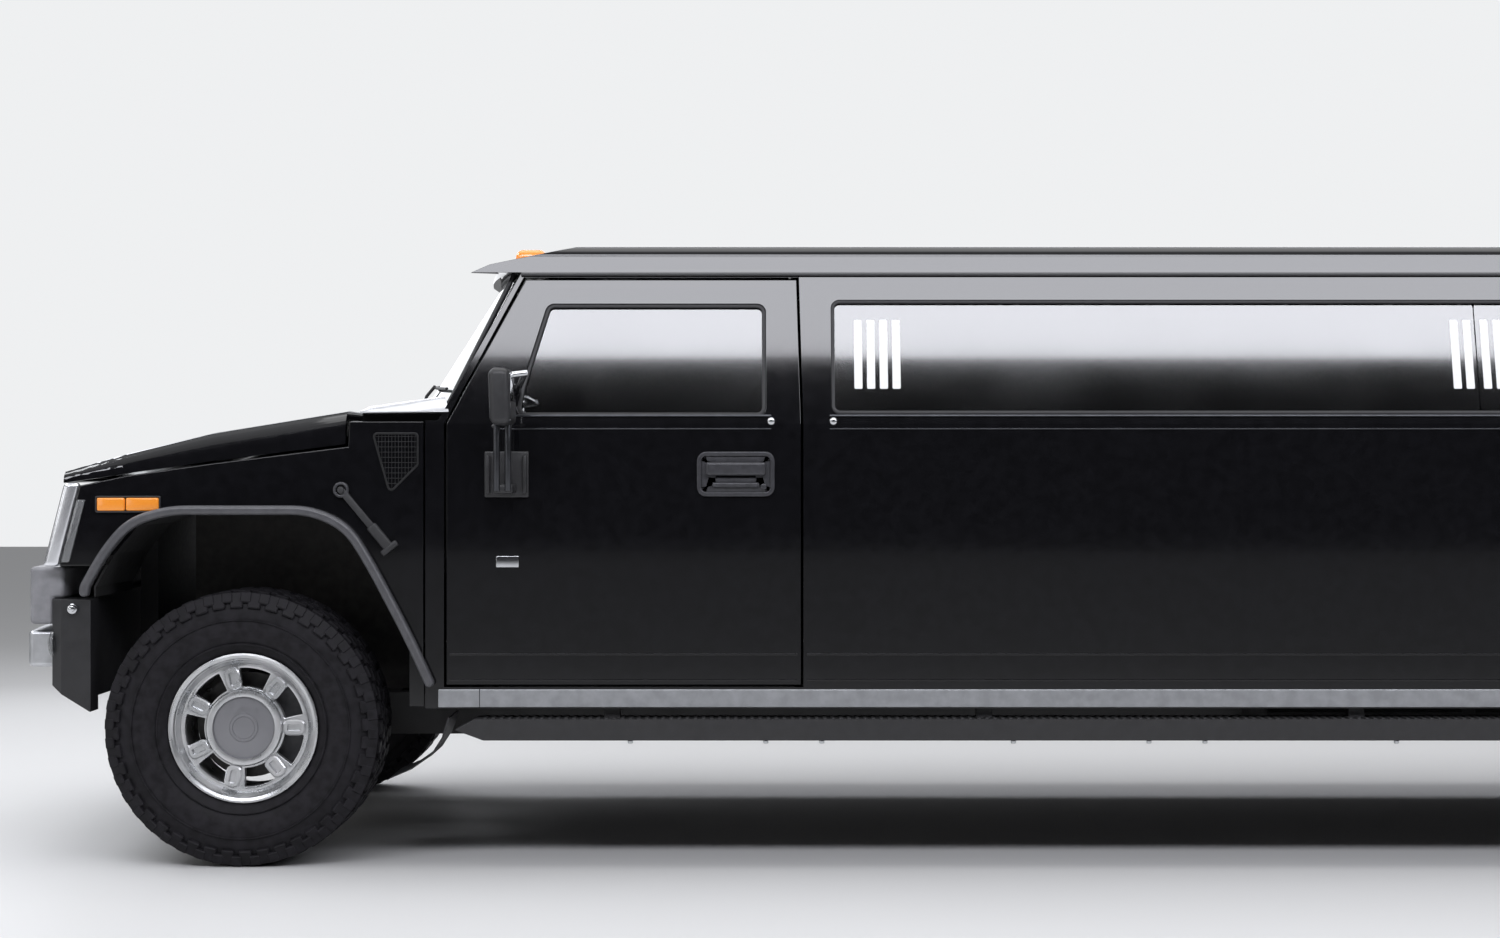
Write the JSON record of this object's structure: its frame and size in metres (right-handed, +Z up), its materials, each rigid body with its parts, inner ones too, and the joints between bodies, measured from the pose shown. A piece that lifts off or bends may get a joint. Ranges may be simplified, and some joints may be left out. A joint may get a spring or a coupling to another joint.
{
  "type": "limousine bus",
  "caption": "Black stretched off-road limousine bus with long window bands, raised arch flares and opening doors.",
  "frame": {"origin": "on the ground under the middle of the vehicle's box", "axes": "+X to the rear, +Y to the right side, +Z up"},
  "size_m": [9.8996, 2.5, 2.01],
  "materials": {
    "body_paint": "gloss",
    "glass": "gloss",
    "black_plastic": "satin",
    "liner_plastic": "matte",
    "bumper_satin": "satin",
    "bright_metal": "polished",
    "frame_black": "matte",
    "engine_iron": "matte",
    "exhaust_steel": "satin",
    "tank_plastic": "matte",
    "headlamp_glass": "gloss",
    "tail_red": "gloss",
    "amber_lens": "gloss",
    "seat_leather": "satin",
    "bar_wood": "gloss",
    "wheel_grip": "matte",
    "rim_alloy": "satin",
    "tyre_rubber": "matte"
  },
  "bodies": {
    "body": {"side_left": "body_paint", "side_right": "body_paint", "quarter_left": "body_paint", "quarter_right": "body_paint", "roof": "body_paint", "fender_left": "body_paint", "fender_right": "body_paint", "rear_frame": "body_paint", "bulkhead": "body_paint", "windshield": "glass", "side_glass": "glass", "arch_flares": "black_plastic", "bumper_core": "black_plastic", "running_boards": "black_plastic", "dashboard": "black_plastic", "arch_liners": "liner_plastic", "bumper_front": "bumper_satin", "bumper_rear": "bumper_satin", "grille": "bright_metal", "sill_strips": "bright_metal", "chassis_frame": "frame_black", "front_suspension": "frame_black", "rear_axle": "frame_black", "driveline": "frame_black", "floor_pan": "frame_black", "radiator": "frame_black", "engine": "engine_iron", "exhaust": "exhaust_steel", "fuel_tank": "tank_plastic", "headlamps": "headlamp_glass", "tail_lamps": "tail_red", "roof_lamps": "amber_lens", "front_seats": "seat_leather", "lounge_seats": "seat_leather", "bar": "bar_wood", "partition": "bar_wood"},
    "door_front_left": {"door_front_left": "body_paint", "glass_front_left": "glass", "mirror_left": "black_plastic"},
    "door_front_right": {"door_front_right": "body_paint", "glass_front_right": "glass", "mirror_right": "black_plastic"},
    "door_rear_left": {"door_rear_left": "body_paint", "glass_rear_left": "glass"},
    "door_rear_right": {"door_rear_right": "body_paint", "glass_rear_right": "glass"},
    "hood": {"hood": "body_paint"},
    "tailgate": {"tailgate": "body_paint", "tailgate_glass": "glass"},
    "steering_wheel": {"steering_wheel": "wheel_grip"},
    "knuckle_left": {"knuckle_left": "frame_black"},
    "knuckle_right": {"knuckle_right": "frame_black"},
    "wheel_front_left": {"rim_front_left": "rim_alloy", "tyre_front_left": "tyre_rubber"},
    "wheel_front_right": {"rim_front_right": "rim_alloy", "tyre_front_right": "tyre_rubber"},
    "wheel_rear_left": {"rim_rear_left": "rim_alloy", "tyre_rear_left": "tyre_rubber"},
    "wheel_rear_right": {"rim_rear_right": "rim_alloy", "tyre_rear_right": "tyre_rubber"}
  },
  "joints": [
    {"name": "steer_left", "type": "hinge", "parent": "body", "child": "knuckle_left", "pos_m": [-4.17, -0.82, 0.4365], "axis": [0, 0, 1], "range_deg": [-32, 32]},
    {"name": "steer_right", "type": "hinge", "parent": "body", "child": "knuckle_right", "pos_m": [-4.17, 0.82, 0.4365], "axis": [0, 0, 1], "range_deg": [-32, 32]},
    {"name": "steering_wheel_turn", "type": "hinge", "parent": "body", "child": "steering_wheel", "pos_m": [-3.185, -0.4, 1.15], "axis": [-0.9063, 0, -0.4226], "range_deg": [-480, 480]},
    {"name": "roll_front_left", "type": "hinge", "parent": "knuckle_left", "child": "wheel_front_left", "pos_m": [-4.17, -0.865, 0.4365], "axis": [0, -1, 0], "continuous": true},
    {"name": "roll_rear_left", "type": "hinge", "parent": "body", "child": "wheel_rear_left", "pos_m": [4.03, -0.865, 0.4365], "axis": [0, -1, 0], "continuous": true},
    {"name": "roll_front_right", "type": "hinge", "parent": "knuckle_right", "child": "wheel_front_right", "pos_m": [-4.17, 0.865, 0.4365], "axis": [0, -1, 0], "continuous": true},
    {"name": "roll_rear_right", "type": "hinge", "parent": "body", "child": "wheel_rear_right", "pos_m": [4.03, 0.865, 0.4365], "axis": [0, -1, 0], "continuous": true},
    {"name": "open_front_left", "type": "hinge", "parent": "body", "child": "door_front_left", "pos_m": [-3.5, -0.978, 1.2], "axis": [0, 0, -1], "range_deg": [0, 68]},
    {"name": "open_front_right", "type": "hinge", "parent": "body", "child": "door_front_right", "pos_m": [-3.5, 0.978, 1.2], "axis": [0, 0, 1], "range_deg": [0, 68]},
    {"name": "open_rear_left", "type": "hinge", "parent": "body", "child": "door_rear_left", "pos_m": [2.717, -0.978, 1.2], "axis": [0, 0, -1], "range_deg": [0, 68]},
    {"name": "open_rear_right", "type": "hinge", "parent": "body", "child": "door_rear_right", "pos_m": [2.717, 0.978, 1.2], "axis": [0, 0, 1], "range_deg": [0, 68]},
    {"name": "open_hood", "type": "hinge", "parent": "body", "child": "hood", "pos_m": [-4.735, 0, 1.228], "axis": [0, -1, 0], "range_deg": [0, 60]},
    {"name": "open_tailgate", "type": "hinge", "parent": "body", "child": "tailgate", "pos_m": [4.83, 0, 1.85], "axis": [0, -1, 0], "range_deg": [0, 85]}
  ],
  "couplings": [
    {"joint": "steer_right", "follows": "steer_left", "ratio": 1},
    {"joint": "steering_wheel_turn", "follows": "steer_left", "ratio": 15}
  ]
}
